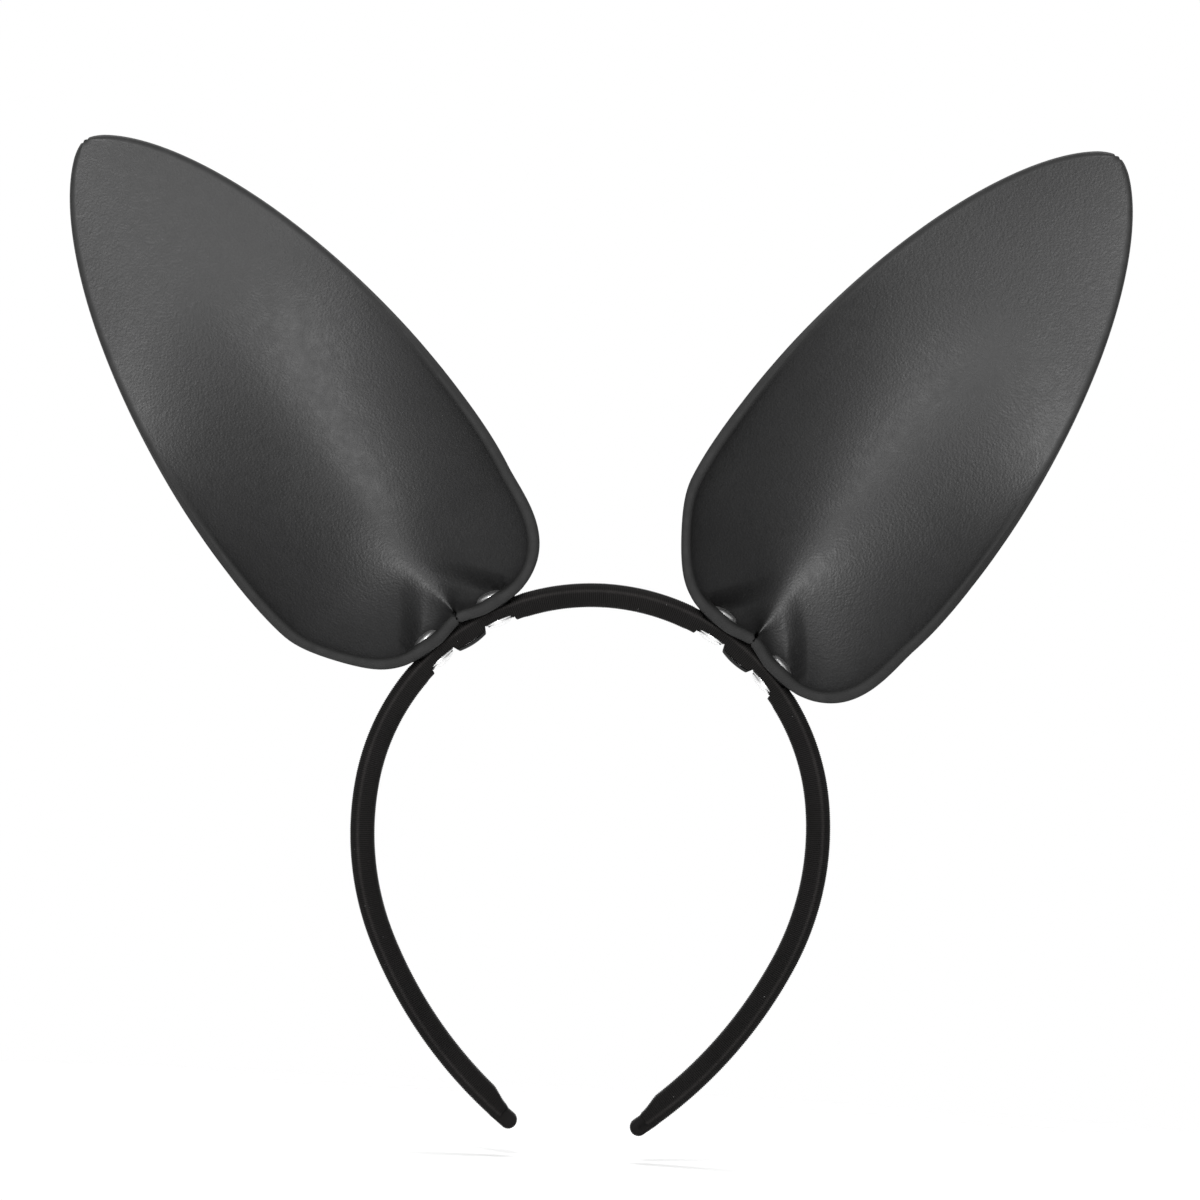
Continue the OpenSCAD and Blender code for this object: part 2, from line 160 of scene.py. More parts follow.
class Nodes:
    """A short way to write a node tree."""

    def __init__(self, name):
        self.material = bpy.data.materials.new(name)
        self.material.use_nodes = True
        self.tree = self.material.node_tree
        self.shader = self.tree.nodes["Principled BSDF"]
        self.place = self.add("ShaderNodeTexCoord").outputs["Object"]

    def add(self, kind, inputs=None, **settings):
        node = self.tree.nodes.new(kind)
        for key, value in settings.items():
            setattr(node, key, value)
        for key, value in (inputs or {}).items():
            self.put(node.inputs[key], value)
        return node

    def put(self, socket, value):
        if isinstance(value, bpy.types.NodeSocket):
            self.tree.links.new(value, socket)
        else:
            socket.default_value = value

    def set(self, **values):
        for key, value in values.items():
            self.put(self.shader.inputs[key.replace("_", " ")], value)

    def stretched(self, size):
        return self.add("ShaderNodeMapping", {"Vector": self.place, "Scale": size}).outputs["Vector"]

    def noise(self, size, detail=3.0, rough=0.55, vector=None):
        """Noise whose features are about size millimetres across."""
        return self.add("ShaderNodeTexNoise", {
            "Vector": vector or self.place, "Scale": 1 / (size * MM), "Detail": detail, "Roughness": rough,
        }).outputs["Fac"]

    def cells(self, size, feature="F1"):
        inputs = {"Vector": self.place, "Scale": 1 / (size * MM)}
        return self.add("ShaderNodeTexVoronoi", inputs, feature=feature).outputs["Distance"]

    def scale(self, value, from_lo, from_hi, to_lo, to_hi):
        return self.add("ShaderNodeMapRange", {
            "Value": value, "From Min": from_lo, "From Max": from_hi, "To Min": to_lo, "To Max": to_hi,
        }).outputs["Result"]

    def spread(self, noise, lo, hi):
        """Spreads a noise, most of which lies between 0.3 and 0.7, from lo to hi."""
        return self.scale(noise, 0.3, 0.7, lo, hi)

    def colour(self, red, green, blue):
        inputs = {"Red": red, "Green": green, "Blue": blue}
        return self.add("ShaderNodeCombineColor", inputs).outputs["Color"]

    def math(self, operation, a, b):
        return self.add("ShaderNodeMath", {0: a, 1: b}, operation=operation).outputs["Value"]

    def mix(self, factor, a, b):
        node = self.add("ShaderNodeMix", data_type="RGBA")
        for socket, value in zip((node.inputs[0], node.inputs[6], node.inputs[7]), (factor, a, b)):
            self.put(socket, value)
        return node.outputs[2]

    def painted(self, name):
        return self.add("ShaderNodeAttribute", attribute_name=name).outputs["Fac"]

    def bump(self, height, depth):
        """Raises the surface by up to depth millimetres where height is 1."""
        inputs = {"Height": height, "Distance": depth * MM, "Strength": 1.0}
        return self.add("ShaderNodeBump", inputs).outputs["Normal"]


def grey(v):
    return (v, v, v, 1.0)


def leather_material(name, tone, grain, depth, rough):
    """Dyed leather: cloudy tone, pebbled grain with fine creases, and dark, dull, smoother edges.
    The grain is grain millimetres across and depth millimetres deep."""
    m = Nodes(name)
    edge = m.painted("edge")
    speck = m.spread(m.noise(0.5, detail=2.0, rough=0.6), 0.72, 1.28)
    cloud = m.spread(m.noise(14, detail=4.0, rough=0.6), 0.88, 1.12)
    value = m.math("MULTIPLY", m.math("MULTIPLY", speck, cloud), tone)
    dyed = m.colour(value, value, m.math("MULTIPLY", value, 1.02))
    m.set(Base_Color=m.mix(edge, dyed, grey(tone * 0.6)), Specular_IOR_Level=0.5)
    patchy = m.spread(m.noise(3.0), rough - 0.04, rough + 0.04)
    m.set(Roughness=m.math("ADD", patchy, m.math("MULTIPLY", edge, 0.3)))
    pebbles = m.math("MULTIPLY", m.cells(grain, "SMOOTH_F1"), 0.6)
    creases = m.math("MULTIPLY", m.noise(grain * 2.4, detail=5.0, rough=0.7), 0.8)
    less_at_edge = m.scale(edge, 0.0, 1.0, 1.0, 0.25)
    height = m.math("MULTIPLY", m.math("ADD", pebbles, creases), less_at_edge)
    m.set(Normal=m.bump(height, depth))
    return m.material


RIDGE_HIGHLIGHT = 1.5                       # how much the ridge adds to the painted highlight on a rib's crest


def ribbed_material():
    """Black ribbed ribbon: warm yarn, painted highlights on rib crests and the ridge, painted shade
    between ribs, fibre fuzz and a few lint specks.
    """
    m = Nodes("ribbed_fabric")
    tone = 0.0034
    yarn = m.noise(0.35, detail=3.0, rough=0.7)
    # worn carries painted light and shade: painted highlights on the rib crests and along the ridge,
    # painted shade in the valleys between ribs
    worn = m.scale(m.painted("crest"), 0.0, 1 + RIDGE_HIGHLIGHT, 0.05, 6.2)
    patch = m.spread(m.noise(9.0), 0.85, 1.15)
    value = m.math("MULTIPLY", m.math("MULTIPLY", m.spread(yarn, 0.6, 1.4), worn), patch)
    value = m.math("MULTIPLY", value, tone)
    dyed = m.colour(m.math("MULTIPLY", value, 1.12), m.math("MULTIPLY", value, 1.03), value)
    specks = m.math("LESS_THAN", m.cells(2.2), 0.035)
    here_and_there = m.math("GREATER_THAN", m.noise(7.0, detail=2.0), 0.56)
    lint = m.math("MULTIPLY", specks, here_and_there)
    m.set(Base_Color=m.mix(lint, dyed, grey(0.3)), Specular_IOR_Level=0.12)
    m.set(Roughness=m.spread(yarn, 0.72, 0.92), Sheen_Weight=0.02, Sheen_Roughness=0.4)
    threads = m.noise(0.16, detail=2.0, rough=0.6)
    m.set(Normal=m.bump(m.math("ADD", threads, yarn), 0.035))
    return m.material


def metal_material(name, tone, rough, brushed):
    """Plated metal with faint scuffs, duller where it is worn; brushed stretches them into lines."""
    m = Nodes(name)
    where = m.stretched((1, 0.06, 1)) if brushed else None
    scuffs = m.noise(0.5, detail=4.0, rough=0.7, vector=where)
    dull = m.noise(2.5)
    m.set(Base_Color=m.mix(dull, grey(tone), grey(tone * 0.93)), Metallic=1.0)
    scuffed = m.scale(scuffs, 0.35, 0.75, rough, rough + 0.12)
    m.set(Roughness=m.math("ADD", scuffed, m.scale(dull, 0.4, 0.8, 0.0, 0.06)))
    m.set(Normal=m.bump(scuffs, 0.012 if brushed else 0.001))
    return m.material


def foam_material():
    """Open-cell foam, with painted shade in its pores."""
    m = Nodes("foam")
    cell = m.cells(0.6, "SMOOTH_F1")
    wall = m.scale(cell, 0.1, 0.7, 0.0, 1.0)
    # the pores are painted darker than the cell walls: painted shade in the pores
    m.set(Base_Color=m.mix(wall, grey(0.03), grey(0.1)), Roughness=0.95, Specular_IOR_Level=0.2)
    m.set(Normal=m.bump(cell, 0.2))
    return m.material


EAR_LEATHER = leather_material("ear_leather", tone=0.009, grain=0.6, depth=0.1, rough=0.5)
STRIP_LEATHER = leather_material("strip_leather", tone=0.008, grain=0.4, depth=0.03, rough=0.6)
RIBBED = ribbed_material()
NICKEL = metal_material("rivet_nickel", tone=0.9, rough=0.27, brushed=False)
STEEL = metal_material("spring_steel", tone=0.5, rough=0.3, brushed=True)
FOAM = foam_material()

# ---- the ears ----

# An ear's own frame has Z outwards from the band, X along the band and Y to the back. Rows run
# across the leaf: row 0 is the slit, the first rows are the lobes, and the last row is the tip.
# A row's number needn't be whole.
LOBE_ROWS, SIDE_ROWS, TOP_ROWS = 7, 12, 17
SLIT = 0.6
SLIT_CLOSING = 16                      # power with which the slit closes behind the band
LOBE_X = 14.0                          # the lobes lie flat this far from the slit
LOBE_BEND, LOBE_Z = 9.0, -2.1          # and have bent down by this far, to this height,
NOTCH_Z = -0.2                         # from this one at the slit
BASE_POW = (2.4, 2.2)                  # superellipse powers of the rounded base
TIP_POW = (1.9, 0.62)                  # powers of the long curve to the tip
TIP_CUT = 4.0                          # degrees left off, for a blunt tip
FRONT_Y, APEX_Y, TOP_Y = -8.0, 14.0, 3.5
RIM_LAG, RIM_POW = 2.0, 6              # how far the upper rim stands forwards, and its fading
FLOOR_L, FLOOR_FADE = 12.5, 10.0       # the lobes run flat this far back, and lose it over this
EDGE_L = 1.2                           # above them the rim turns straight back by this much
CUP_FROM, CUP_TO = 26.0, 120.0         # the cup is full up to one height, and flat from the other
SPLAY_MAX, SPLAY_TO = 80.0, 110.0      # most that the walls splay, and the height that it is at
APEX_FROM, APEX_RISE = 1.0, 40.0       # the back reaches the cup's full depth over this rise
FOLD, FOLD_RISE = 0.25, 0.02           # share of the width that is rounded, and its gain per mm
CLIMB_POW = 1.5                        # power of a row's climb towards the spine
CUP_POW = 0.4                          # and what the cup adds to the power of its slant
SPINE_LEAD, SPINE_SWELL = 15.0, 10.0   # a row meets the spine higher up, most beside the base
LOBE_LEAD = 1.05                       # and on the lobes by this share of its place along the band
TURN_FROM, TURN_TO = 2.0, 26.0         # heights between which the leaf turns sideways
EDGE_ROUND, EDGE_CRISP = 1.25, 0.45    # rounding of the leather's edges, in the cup and above it
CRISP_FROM, CRISP_TO = 30.0, 75.0      # heights between which it changes
EDGE_SPOTS = np.array([0, 0.06, 0.25, 0.55, 0.9, 1.3, 1.9])     # a row's first points from its rim
WORN_FROM, WORN_L = 0.4, 1.6           # an edge's colour is whole up to the first, then fades

# How finely the leaf is modelled: rows close to the slit, then numbers of rows and points
SLIT_MARKS = [0, 0.03, 0.1, 0.2, 0.34, 0.5]
AFTER_SLIT = 0.7
LOBE_LINES, SIDE_LINES, TOP_LINES = 34, 54, 84
LINE_POINTS = 44
TIP_LINES = 8                          # the last rows share one thickness direction

# Round its caps the leaf is pressed flat, and puffs up in front of them
SEAT_LOW, SEAT_FADE = 3.4, 1.6         # only below this height, and fading above it
SEAT_ROOM, SEAT_EASE = 0.1, 1.8        # the flat is wider than the cap, and eases out
PUFF_H, PUFF_W = 0.55, 1.25
PUFF_AT, PUFF_EASE = 1.9, 0.9          # its crest stands this far beyond the cap's edge


def cup(z):
    """1 in the cup, 0 in the flat upper half."""
    return 1 - smooth((z - CUP_FROM) / (CUP_TO - CUP_FROM))


def splay(z):
    """Angle of the side walls from straight back."""
    return SPLAY_MAX * smooth(z / SPLAY_TO)


def lobe_low(x):
    """Height of a lobe's underside, at a place along the band."""
    return NOTCH_Z + (LOBE_Z - NOTCH_Z) * smooth(x / LOBE_BEND)


def swing(i):
    """Angle along the outline: 0 on a lobe, 90 at the belly, 180 at the tip."""
    side = i - LOBE_ROWS
    if side <= 0:
        return 0.0
    if side <= SIDE_ROWS:
        return 90 * side / SIDE_ROWS
    return 90 + (90 - TIP_CUT) * (side - SIDE_ROWS) / TOP_ROWS


def outline(i):
    """The leaf's outline, as x and z."""
    a, half = swing(i), EAR_W / 2
    if i <= LOBE_ROWS:
        x = SLIT / 2 + (LOBE_X - SLIT / 2) * i / LOBE_ROWS
        return x, lobe_low(x)
    if a <= 90:
        x = LOBE_X + (half - LOBE_X) * sin(a) ** (2 / BASE_POW[1])
        return x, EAR_BELLY - (EAR_BELLY - LOBE_Z) * max(0, cos(a)) ** (2 / BASE_POW[0])
    x = half * sin(a) ** (2 * TIP_POW[1])
    return x, EAR_BELLY + (EAR_H - EAR_BELLY) * (-cos(a)) ** (2 / TIP_POW[0])


def rim_y(z):
    lag = RIM_LAG * (1 - (max(0, z) / EAR_H) ** RIM_POW)
    return TOP_Y - lag + (FRONT_Y - TOP_Y + RIM_LAG) * cup(z)


def spine(i, rim_z):
    """Where a row meets the spine, up the middle of the leaf's back, as x, z, y."""
    a = swing(i)
    if i <= LOBE_ROWS:
        z = rim_z + LOBE_LEAD * outline(i)[0]
    else:
        z = rim_z + SPINE_LEAD * cos(a / 2) + (SPINE_SWELL * sin(2 * a) if a < 90 else 0)
    if i == 0:
        return np.array([0, z, APEX_Y])
    back = CUP_D + FRONT_Y
    not_risen = 1 - smooth((z - APEX_FROM) / APEX_RISE)
    return np.array([0, z, TOP_Y + (back - TOP_Y) * cup(z) - (back - APEX_Y) * not_risen])


def wall(b, s, t):
    """From b to the spine s: straight back at first, then slanting in to a back whose rounded
    middle widens with height, as the leaf's cone does."""
    w = max(FOLD, FOLD_RISE * s[1])
    slant = 1 - sin(90 * t) ** (1 + CUP_POW * cup(s[1]))
    x = np.sqrt((slant * (math.sqrt(1 + w * w) - w) + w) ** 2 - w * w)
    y = b[2] + (s[2] - b[2]) * sin(90 * t)
    return np.stack([b[0] * x, s[1] - (s[1] - b[1]) * x ** CLIMB_POW, y], -1)


def rung(i):
    """Points of half a row of the leaf's inside, from the rim to the spine, as x, z, y."""
    px, pz = outline(i)
    t, turned_in = LEATHER_T * cos(splay(pz)), min(90, swing(i))
    p = np.array([px - t * sin(turned_in), pz + t * cos(turned_in), rim_y(pz)])
    s = spine(i, p[1])
    flat = min(EDGE_L, p[0] / 4)
    if i <= LOBE_ROWS + SIDE_ROWS:
        flat = max(flat, FLOOR_L * (1 - smooth((p[0] - LOBE_X + LEATHER_T) / FLOOR_FADE)))
    g = splay(p[1])
    b = p + flat * np.array([-sin(g), 0, cos(g)])
    start = p + (b - p) * np.linspace(0, 1, 20)[:-1, None]
    t = np.linspace(0, 1, 60)
    if i > 0:
        return np.vstack([start, wall(b, s, t)])
    closing_slit = b + (s - b) * t[:, None]
    closing_slit[:, 0] = b[0] * (1 - t) ** SLIT_CLOSING
    return np.vstack([start, closing_slit])


def resampled(line, steps):
    """The line at set distances from its rim end, then evenly spaced, and each point's distance.
    The set ones draw closer together on a line under 4 mm."""
    length = np.concatenate([[0], np.cumsum(np.linalg.norm(np.diff(line, axis=0), axis=1))])
    edge = EDGE_SPOTS * min(1, length[-1] / 4)
    at = np.concatenate([edge, np.linspace(edge[-1], length[-1], steps + 1)[1:]])
    return np.stack([np.interp(at, length, line[:, c]) for c in range(3)], 1), at


def turned(p):
    """Turns the leaf sideways above its base."""
    above = smooth((p[..., 2] - TURN_FROM) / (TURN_TO - TURN_FROM))
    a = EAR_TURN * above
    x, y, z = np.moveaxis(p, -1, 0)
    return np.stack([x * cos(a) + z * sin(a) + EAR_SWAY * above, y, z * cos(a) - x * sin(a)], -1)


def seated(p, seat_r, puff):
    """Presses the leaf flat under its rivet caps, and lets it puff up in front of them."""
    out = p.copy()
    for side in (-1, 1):
        x0 = side * CAP_SEAT_R * sin(RIVET_STEP)
        away = np.hypot(p[..., 0] - x0, p[..., 1]) - CAP_D / 2
        flat = (seat_r - side * p[..., 0] * sin(RIVET_STEP)) / cos(RIVET_STEP) - OUTER_R
        low = 1 - smooth((p[..., 2] - SEAT_LOW) / SEAT_FADE)
        press = low * (1 - smooth((away - SEAT_ROOM) / SEAT_EASE))
        out[..., 2] = out[..., 2] * (1 - press) + flat * press
        ring = np.exp(-((away - PUFF_AT) / PUFF_W) ** 2) * smooth(away / PUFF_EASE)
        out[..., 2] += low * puff * ring
    return out


def leaf():
    """Points of the ear's inside and outside, and how near each is to the leaf's edge."""
    lobe_end, side_end = LOBE_ROWS, LOBE_ROWS + SIDE_ROWS
    rows = np.concatenate([
        SLIT_MARKS, np.linspace(AFTER_SLIT, lobe_end, LOBE_LINES)[:-1],
        np.linspace(lobe_end, side_end, SIDE_LINES)[:-1],
        np.linspace(side_end, side_end + TOP_ROWS, TOP_LINES)])
    halves, edges = zip(*[resampled(rung(i), LINE_POINTS) for i in rows])
    half = np.array(halves)[..., [0, 2, 1]]
    mirror_half = half[:, ::-1][:, 1:] * np.array([-1, 1, 1])
    inside = np.concatenate([half, mirror_half], 1)
    to_rim = np.array(edges)
    to_rim = np.concatenate([to_rim, to_rim[:, ::-1][:, 1:]], 1)

    out = np.cross(np.gradient(inside, axis=1), np.gradient(inside, axis=0))
    out[-TIP_LINES:] = out[-TIP_LINES]
    out[:len(SLIT_MARKS)] = out[len(SLIT_MARKS)]
    out[0, :, 0] = 0
    out /= np.linalg.norm(out, axis=-1, keepdims=True)
    gaps = np.linalg.norm(np.diff(inside, axis=0), axis=-1)
    to_slit = np.vstack([np.zeros_like(gaps[:1]), np.cumsum(gaps, 0)])
    to_tip = np.vstack([np.cumsum(gaps[::-1], 0)[::-1], np.zeros_like(gaps[:1])])
    near = np.minimum(np.minimum(to_rim, to_slit), to_tip)
    crisp = smooth((inside[..., 2] - CRISP_FROM) / (CRISP_TO - CRISP_FROM))
    rounding = EDGE_CRISP + (EDGE_ROUND - EDGE_CRISP) * (1 - crisp)
    in_by = np.clip(rounding - near, 0, rounding)
    sunk = rounding - np.sqrt(rounding ** 2 - in_by ** 2)
    top_side = inside + out * sunk[..., None]
    under_side = inside + out * (LEATHER_T - sunk)[..., None]
    return seated(top_side, CAP_SEAT_R, PUFF_H), seated(under_side, EAR_SEAT_R, 0.0), near


LEAF = leaf()


def make_ear(side):
    """One leaf: its inside and its outside, joined all round its border."""
    top, under, near = LEAF
    rows, cols = near.shape
    count = rows * cols
    sheets = grid_faces(rows, cols, False)
    faces = [f[::-1] for f in sheets] + [[k + count for k in f] for f in sheets]
    border = [(0, k) for k in range(cols)] + [(i, cols - 1) for i in range(1, rows)]
    border += [(rows - 1, k) for k in range(cols - 2, -1, -1)] + [(i, 0) for i in range(rows - 2, 0, -1)]
    ring = [i * cols + k for i, k in border]
    for a, b in zip(ring, ring[1:] + ring[:1]):
        faces.append([b, a, a + count, b + count][::-1])
    points = at_crown(turned(np.stack([top, under])), EAR_AT[side], OUTER_R)
    ear = piece(f"{side}_ear_leather", points, faces, EAR_LEATHER, "ear_leather")
    worn = 1 - smooth((near - WORN_FROM) / WORN_L)
    paint(ear, "edge", np.concatenate([worn.ravel(), worn.ravel()]))
    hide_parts(f"{side}_ear")
    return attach(ear, "crown")


# ---- the band ----

# Half of the band's section as outwards and forwards shares of its half sizes: a flat inner
# face, a soft ridge a third of the way down from the outer edge, and a flat outer face
SECTION_HALF = [(-1, 0), (-1, 0.72), (-0.86, 0.9), (-0.3, 0.965), (0.28, 1), (0.44, 0.99),
                (0.8, 0.84), (1, 0.64), (1, 0)]
SECTION_POINTS = 44
SIDE_Y, SIDE_FADE = 4.0, 0.6           # the section's front and back sides begin this far out
PUFFED = BAND_T / 2 + 0.1              # the section's limit where nothing squeezes it
RIDGE_R, RIDGE_W = 1.1, 0.3            # the ridge's place outwards from the centreline, and width
RIB_LEAN, RIB_POW = 0.16, 1.3          # how far a rib bows along the band, and its roundness
FLAT_RIBS = 0.2                        # share of a rib's height that is left under an ear
COVER_T = 0.35                         # the foam is this far inside the sleeve
TIP_TAPER = 8.0                        # length over which the sleeve narrows to its tab
MOUTH_L, MOUTH_NARROWING = 1.2, 0.1    # and the last of it closes in by this share
PADDING_END, CORE_END = 1.0, 3.0       # these stop short of the sleeve's end

# Degrees from the middle of an ear, and over how many more each effect fades
LOBE_ARC, LOBE_FADE = 15.0, 1.5
LIP_ARC, LIP_FADE = 11.6, 1.8
STRIP_LEAD, STRIP_FADE = 0.15, 0.4     # this starts before the end of STRIP_ARC
PINNED_ARC = 4.2                       # either side of a rivet, the ear is pressed down this far
LOBE_R = 63.3                          # radius at which the band runs under the lobes
SLIT_ARC = 0.6                         # half width of the sleeve's puff into the slit
SLIT_FROM, SLIT_FADE = 1.5, 1.2        # which only its outer face makes


def section(inset):
    """The band's closed section, evenly spaced and with its corners softened, as outwards, forwards."""
    front = np.array(SECTION_HALF) * [BAND_T / 2 - inset, BAND_D / 2 - inset]
    loop = np.vstack([front, front[-2:0:-1] * [1, -1], front[:1]])
    length = np.concatenate([[0], np.cumsum(np.linalg.norm(np.diff(loop, axis=0), axis=1))])
    at = np.linspace(0, length[-1], SECTION_POINTS, endpoint=False)
    even = np.stack([np.interp(at, length, loop[:, c]) for c in range(2)], 1)
    return 0.5 * even + 0.25 * np.roll(even, 1, 0) + 0.25 * np.roll(even, -1, 0)


CROWN_L = math.radians(CROWN_ARC) * CROWN_R
TEMPLE_L = math.radians(TEMPLE_ARC) * TEMPLE_R
HALF_L = CROWN_L + TEMPLE_L + TAIL_L


def spine_of_band(s):
    """Centre of the section, its outward direction and its angle, at length s from the crown's top."""
    s = np.asarray(s, float)
    crown = np.degrees(np.minimum(s, CROWN_L) / CROWN_R)
    temple = np.degrees(np.clip(s - CROWN_L, 0, TEMPLE_L) / TEMPLE_R)
    tail = np.degrees(np.maximum(s - CROWN_L - TEMPLE_L, 0) / TAIL_R)
    angle = crown + temple + tail

    def towards(a):
        return np.stack([sin(a), np.zeros_like(a), cos(a)], -1)

    centre = towards(crown) * CROWN_R
    centre += (towards(crown + temple) - towards(crown)) * TEMPLE_R
    centre += (towards(angle) - towards(crown + temple)) * TAIL_R
    return centre - [0, 0, INNER_R], towards(angle), angle


def strip_r(a):
    """Radius of a backing strip's outer face, at an angle from the middle of the ear."""
    ramp = smooth((STRIP_FLAT - np.abs(a)) / STRIP_RAMP)
    arch = 1 - np.clip(np.abs(a) / STRIP_FLAT, 0, 1) ** 2
    return STRIP_OUT_R - STRIP_BOW * ((1 - STRIP_CROWN) * ramp + STRIP_CROWN * arch)


def limits(angle, side, inset):
    """How far the section may reach inwards, inwards along its sides, and outwards, where an ear
    and its strip squeeze it."""
    a = np.abs(angle - abs(EAR_AT[side]))
    under = (OUTER_R + lobe_low(LOBE_R * sin(a))) / np.maximum(cos(a), 0.5)
    pinned = EAR_SEAT_R / cos(a - RIVET_STEP)
    under = np.where(np.abs(a - RIVET_STEP) < PINNED_ARC, np.minimum(under, pinned), under)
    squeezed = np.minimum(PUFFED, under - ROOM - CROWN_R)
    high = np.where(a < LOBE_ARC + LOBE_FADE, squeezed, PUFFED)
    strip_end = smooth((a - STRIP_ARC + STRIP_LEAD) / STRIP_FADE)
    low = (strip_r(a) + ROOM - CROWN_R) * (1 - strip_end) - PUFFED * strip_end
    lip_end = smooth((a - LIP_ARC) / LIP_FADE)
    lip = (LIP_R - CROWN_R) * (1 - lip_end) - PUFFED * lip_end
    return low + inset, np.minimum(low, lip) + inset, high - inset


def band_rings(s, side, inset, rib_h):
    """Rings of points round the band at each length in s, and how near each is to a rib's crest."""
    shape = section(inset)
    centre, outwards, angle = spine_of_band(s)
    low, lip, high = limits(angle, side, inset)
    y = np.repeat(shape[None, :, 1], len(s), 0)
    at_side = smooth((np.abs(y) - SIDE_Y) / SIDE_FADE)
    low = low[:, None] * (1 - at_side) + lip[:, None] * at_side
    tip = smooth((s - HALF_L + TIP_TAPER) / TIP_TAPER)[:, None]
    low = np.maximum(low, (BAND_T - TAB_T - 0.1) * tip - PUFFED)
    r = np.clip(shape[None, :, 0], low, high[:, None])
    from_ear = np.abs(np.abs(angle) - abs(EAR_AT[side]))[:, None]
    into_slit = SLIT_PUFF * np.exp(-(from_ear / SLIT_ARC) ** 2)
    r = r + into_slit * smooth((shape[None, :, 0] - SLIT_FROM) / SLIT_FADE)
    lean = RIB_LEAN * (r / BAND_T * 2) ** 2
    crest = np.abs(np.sin(math.pi * (s[:, None] / RIB_PITCH + lean))) ** RIB_POW
    edge = np.stack([r, y], -1)
    normal = np.roll(edge, -1, 1) - np.roll(edge, 1, 1)
    normal = np.stack([-normal[..., 1], normal[..., 0]], -1)
    normal /= np.maximum(np.linalg.norm(normal, axis=-1, keepdims=True), 1e-6)
    off_ear = smooth((from_ear - LOBE_ARC) / LOBE_FADE)
    raised = np.maximum(np.maximum(off_ear, at_side), FLAT_RIBS)
    edge = edge + normal * (rib_h * crest * raised)[..., None]
    points = centre[:, None] + outwards[:, None] * edge[..., :1]
    points = points + np.array([0, 1, 0]) * edge[..., 1:]
    return points, crest


def mirrored(points, side):
    return points * [-1 if side == "left" else 1, 1, 1]


def flex(thing, side):
    """Bakes a piece of the band's place into its mesh. The stretch of crown arc that flexes is worked out,
    but nothing bends.
    """
    centres = spine_of_band(np.radians([FLEX_FROM, FLEX_TO]) * CROWN_R)[0]
    start, end = mirrored(centres, side) * MM
    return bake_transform(thing, "crown", f"{side}_arm", start=tuple(start), end=tuple(end))


def make_band_part(name, rings, side, material, slot_name, nodes):
    """One layer of half of the band."""
    rows, cols = rings.shape[:2]
    faces = tube_faces(rows, cols)
    if side == "right":
        faces = [f[::-1] for f in faces]
    thing = piece(name, mirrored(rings, side), faces, material, slot_name)
    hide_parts(*nodes)
    return flex(thing, side)


def make_sleeve(side):
    """The ribbed sleeve of one half of the band, from the crown's top to its gathered tip."""
    steps_per_rib = 4
    ribs = int(HALF_L / RIB_PITCH)
    s = np.arange(ribs * steps_per_rib + 1) * (HALF_L / ribs / steps_per_rib)
    rings, crest = band_rings(s, side, 0.0, RIB_H)
    centre, outwards, _ = spine_of_band(s)
    closing = smooth((s - HALF_L + MOUTH_L) / MOUTH_L) ** 3
    from_centre = (rings - centre[:, None]) * (1 - MOUTH_NARROWING * closing)[:, None, None]
    rings = centre[:, None] + from_centre
    r = np.einsum("ijk,ik->ij", from_centre, outwards)
    ridge = np.exp(-((r - RIDGE_R) / RIDGE_W) ** 2)
    thing = make_band_part(f"{side}_sleeve", rings, side, RIBBED, "ribbed_fabric",
                           ["crown_cover", f"{side}_arm_cover"])
    # painted highlights on the rib crests and along the ridge, painted shade between the ribs
    paint(thing, "crest", (crest + RIDGE_HIGHLIGHT * ridge).ravel())
    return thing


def make_padding(side):
    """The foam of one half of the band, inside the sleeve."""
    s = np.linspace(0, HALF_L - PADDING_END, 170)
    rings, _ = band_rings(s, side, COVER_T, 0.0)
    thing = make_band_part(f"{side}_foam_padding", rings, side, FOAM, "foam",
                           ["crown_padding", f"{side}_arm_padding"])
    return thing


def make_spring(side):
    """Half of the flat spring strip, with rolled edges."""
    t, w = CORE_T / 2, CORE_W / 2
    turn = np.linspace(-90, 90, 7)
    round_end = np.stack([t * sin(turn), w - t + t * cos(turn)], -1)
    shape = np.vstack([round_end, round_end[::-1] * [1, -1]]) + [CORE_R - CROWN_R, 0]
    centre, outwards, _ = spine_of_band(np.linspace(0, HALF_L - CORE_END, 150))
    rings = centre[:, None] + outwards[:, None] * shape[None, :, :1]
    rings = rings + np.array([0, 1, 0]) * shape[None, :, 1:]
    return make_band_part(f"{side}_spring_strip", rings, side, STEEL, "spring_steel",
                          ["crown_core", f"{side}_arm_core"])


